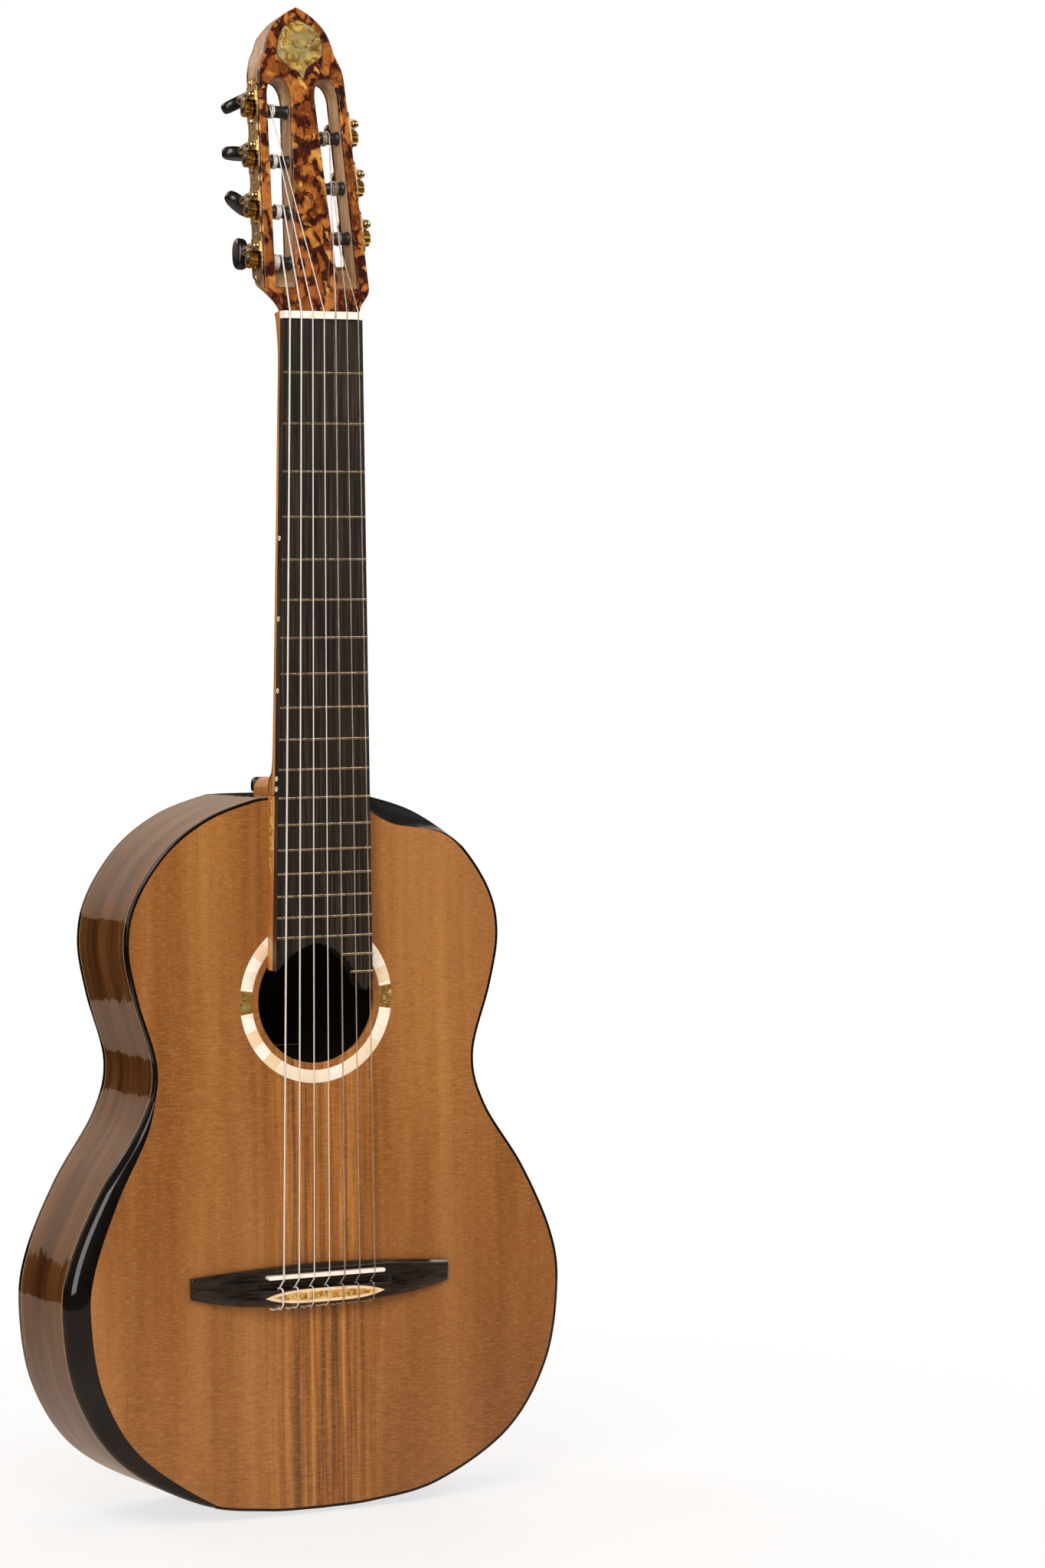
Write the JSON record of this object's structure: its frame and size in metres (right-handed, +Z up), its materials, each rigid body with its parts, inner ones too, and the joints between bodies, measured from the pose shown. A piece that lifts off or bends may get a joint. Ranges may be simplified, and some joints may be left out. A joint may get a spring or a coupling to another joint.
{
  "type": "seven-string classical guitar",
  "caption": "Concert classical guitar with an added bass string: hollow body with an armrest bevel and a scooped cutaway, slotted head, and worm-geared tuning machines.",
  "frame": {"origin": "middle of the nut's lower edge, level with the top of the fingerboard", "axes": "+Z up the neck to the head, +X to the treble side, +Y from the front to the back; the strings face -Y"},
  "size_m": [0.371, 0.1154, 1.0321],
  "materials": {
    "cedar_top": "gloss lacquer",
    "rosewood_rib": "gloss lacquer",
    "back_wood": "gloss lacquer",
    "neck_cedar": "gloss lacquer",
    "ebony": "satin",
    "spruce_brace": "unfinished",
    "black_lacquer": "gloss lacquer",
    "head_mosaic": "amber veneer under gloss lacquer",
    "bone": "polished",
    "ivory_inlay": "inlaid segments, lacquered",
    "button_black": "polished",
    "nylon_string": "clear",
    "wound_string": "silvered winding",
    "gold_plate": "engraved, polished",
    "bright_steel": "polished",
    "roller_black": "satin"
  },
  "bodies": {
    "guitar": {"soundboard": "cedar_top", "rosette": "ivory_inlay", "rib_bass": "rosewood_rib", "rib_treble": "rosewood_rib", "back_plate": "back_wood", "binding_back": "black_lacquer", "binding_front_bass": "black_lacquer", "binding_front_treble": "black_lacquer", "armrest_bevel": "black_lacquer", "cutaway_bevel": "black_lacquer", "harmonic_bar": "spruce_brace", "fan_brace_1": "spruce_brace", "fan_brace_2": "spruce_brace", "fan_brace_3": "spruce_brace", "fan_brace_4": "spruce_brace", "fan_brace_5": "spruce_brace", "back_brace_1": "spruce_brace", "back_brace_2": "spruce_brace", "back_brace_3": "spruce_brace", "tail_block": "neck_cedar", "neck": "neck_cedar", "head_core": "neck_cedar", "heel_cap": "black_lacquer", "fingerboard": "ebony", "nut": "bone", "head_front_plate": "head_mosaic", "head_back_plate": "head_mosaic", "bridge": "ebony", "saddle": "bone", "tie_block_trim": "ivory_inlay", "string_1": "nylon_string", "string_2": "nylon_string", "string_3": "nylon_string", "string_4": "wound_string", "string_5": "wound_string", "string_6": "wound_string", "string_7": "wound_string", "tuner_plate_bass": "gold_plate", "tuner_plate_treble": "gold_plate"},
    "button_1": {"tuner_button_1": "button_black", "tuner_worm_1": "bright_steel"},
    "button_2": {"tuner_button_2": "button_black", "tuner_worm_2": "bright_steel"},
    "button_3": {"tuner_button_3": "button_black", "tuner_worm_3": "bright_steel"},
    "button_4": {"tuner_button_4": "button_black", "tuner_worm_4": "bright_steel"},
    "button_5": {"tuner_button_5": "button_black", "tuner_worm_5": "bright_steel"},
    "button_6": {"tuner_button_6": "button_black", "tuner_worm_6": "bright_steel"},
    "button_7": {"tuner_button_7": "button_black", "tuner_worm_7": "bright_steel"},
    "roller_1": {"tuner_roller_1": "roller_black"},
    "roller_2": {"tuner_roller_2": "roller_black"},
    "roller_3": {"tuner_roller_3": "roller_black"},
    "roller_4": {"tuner_roller_4": "roller_black"},
    "roller_5": {"tuner_roller_5": "roller_black"},
    "roller_6": {"tuner_roller_6": "roller_black"},
    "roller_7": {"tuner_roller_7": "roller_black"}
  },
  "joints": [
    {"name": "button_turn_1", "type": "hinge", "parent": "guitar", "child": "button_1", "pos_m": [0.0421, 0.02625, 0.06514], "axis": [0, 0.9848, -0.1736], "continuous": true},
    {"name": "button_turn_2", "type": "hinge", "parent": "guitar", "child": "button_2", "pos_m": [0.04045, 0.03233, 0.0996], "axis": [0, 0.9848, -0.1736], "continuous": true},
    {"name": "button_turn_3", "type": "hinge", "parent": "guitar", "child": "button_3", "pos_m": [0.0388, 0.03841, 0.13407], "axis": [0, 0.9848, -0.1736], "continuous": true},
    {"name": "button_turn_4", "type": "hinge", "parent": "guitar", "child": "button_4", "pos_m": [-0.03798, 0.04145, 0.15131], "axis": [0, 0.9848, -0.1736], "continuous": true},
    {"name": "button_turn_5", "type": "hinge", "parent": "guitar", "child": "button_5", "pos_m": [-0.03963, 0.03537, 0.11684], "axis": [0, 0.9848, -0.1736], "continuous": true},
    {"name": "button_turn_6", "type": "hinge", "parent": "guitar", "child": "button_6", "pos_m": [-0.04128, 0.02929, 0.08237], "axis": [0, 0.9848, -0.1736], "continuous": true},
    {"name": "button_turn_7", "type": "hinge", "parent": "guitar", "child": "button_7", "pos_m": [-0.04292, 0.02321, 0.0479], "axis": [0, 0.9848, -0.1736], "continuous": true},
    {"name": "roller_turn_1", "type": "hinge", "parent": "guitar", "child": "roller_1", "pos_m": [0.03721, 0.02473, 0.05653], "axis": [0.9989, 0.0082, 0.0463], "continuous": true},
    {"name": "roller_turn_2", "type": "hinge", "parent": "guitar", "child": "roller_2", "pos_m": [0.03556, 0.03081, 0.091], "axis": [0.9989, 0.0082, 0.0463], "continuous": true},
    {"name": "roller_turn_3", "type": "hinge", "parent": "guitar", "child": "roller_3", "pos_m": [0.03391, 0.03689, 0.12547], "axis": [0.9989, 0.0082, 0.0463], "continuous": true},
    {"name": "roller_turn_4", "type": "hinge", "parent": "guitar", "child": "roller_4", "pos_m": [-0.03309, 0.03993, 0.1427], "axis": [-0.9989, 0.0082, 0.0463], "continuous": true},
    {"name": "roller_turn_5", "type": "hinge", "parent": "guitar", "child": "roller_5", "pos_m": [-0.03473, 0.03385, 0.10823], "axis": [-0.9989, 0.0082, 0.0463], "continuous": true},
    {"name": "roller_turn_6", "type": "hinge", "parent": "guitar", "child": "roller_6", "pos_m": [-0.03638, 0.02777, 0.07376], "axis": [-0.9989, 0.0082, 0.0463], "continuous": true},
    {"name": "roller_turn_7", "type": "hinge", "parent": "guitar", "child": "roller_7", "pos_m": [-0.03803, 0.02169, 0.0393], "axis": [-0.9989, 0.0082, 0.0463], "continuous": true}
  ],
  "couplings": [
    {"joint": "roller_turn_1", "follows": "button_turn_1", "ratio": 0.0625},
    {"joint": "roller_turn_2", "follows": "button_turn_2", "ratio": 0.0625},
    {"joint": "roller_turn_3", "follows": "button_turn_3", "ratio": 0.0625},
    {"joint": "roller_turn_4", "follows": "button_turn_4", "ratio": -0.0625},
    {"joint": "roller_turn_5", "follows": "button_turn_5", "ratio": -0.0625},
    {"joint": "roller_turn_6", "follows": "button_turn_6", "ratio": -0.0625},
    {"joint": "roller_turn_7", "follows": "button_turn_7", "ratio": -0.0625}
  ]
}
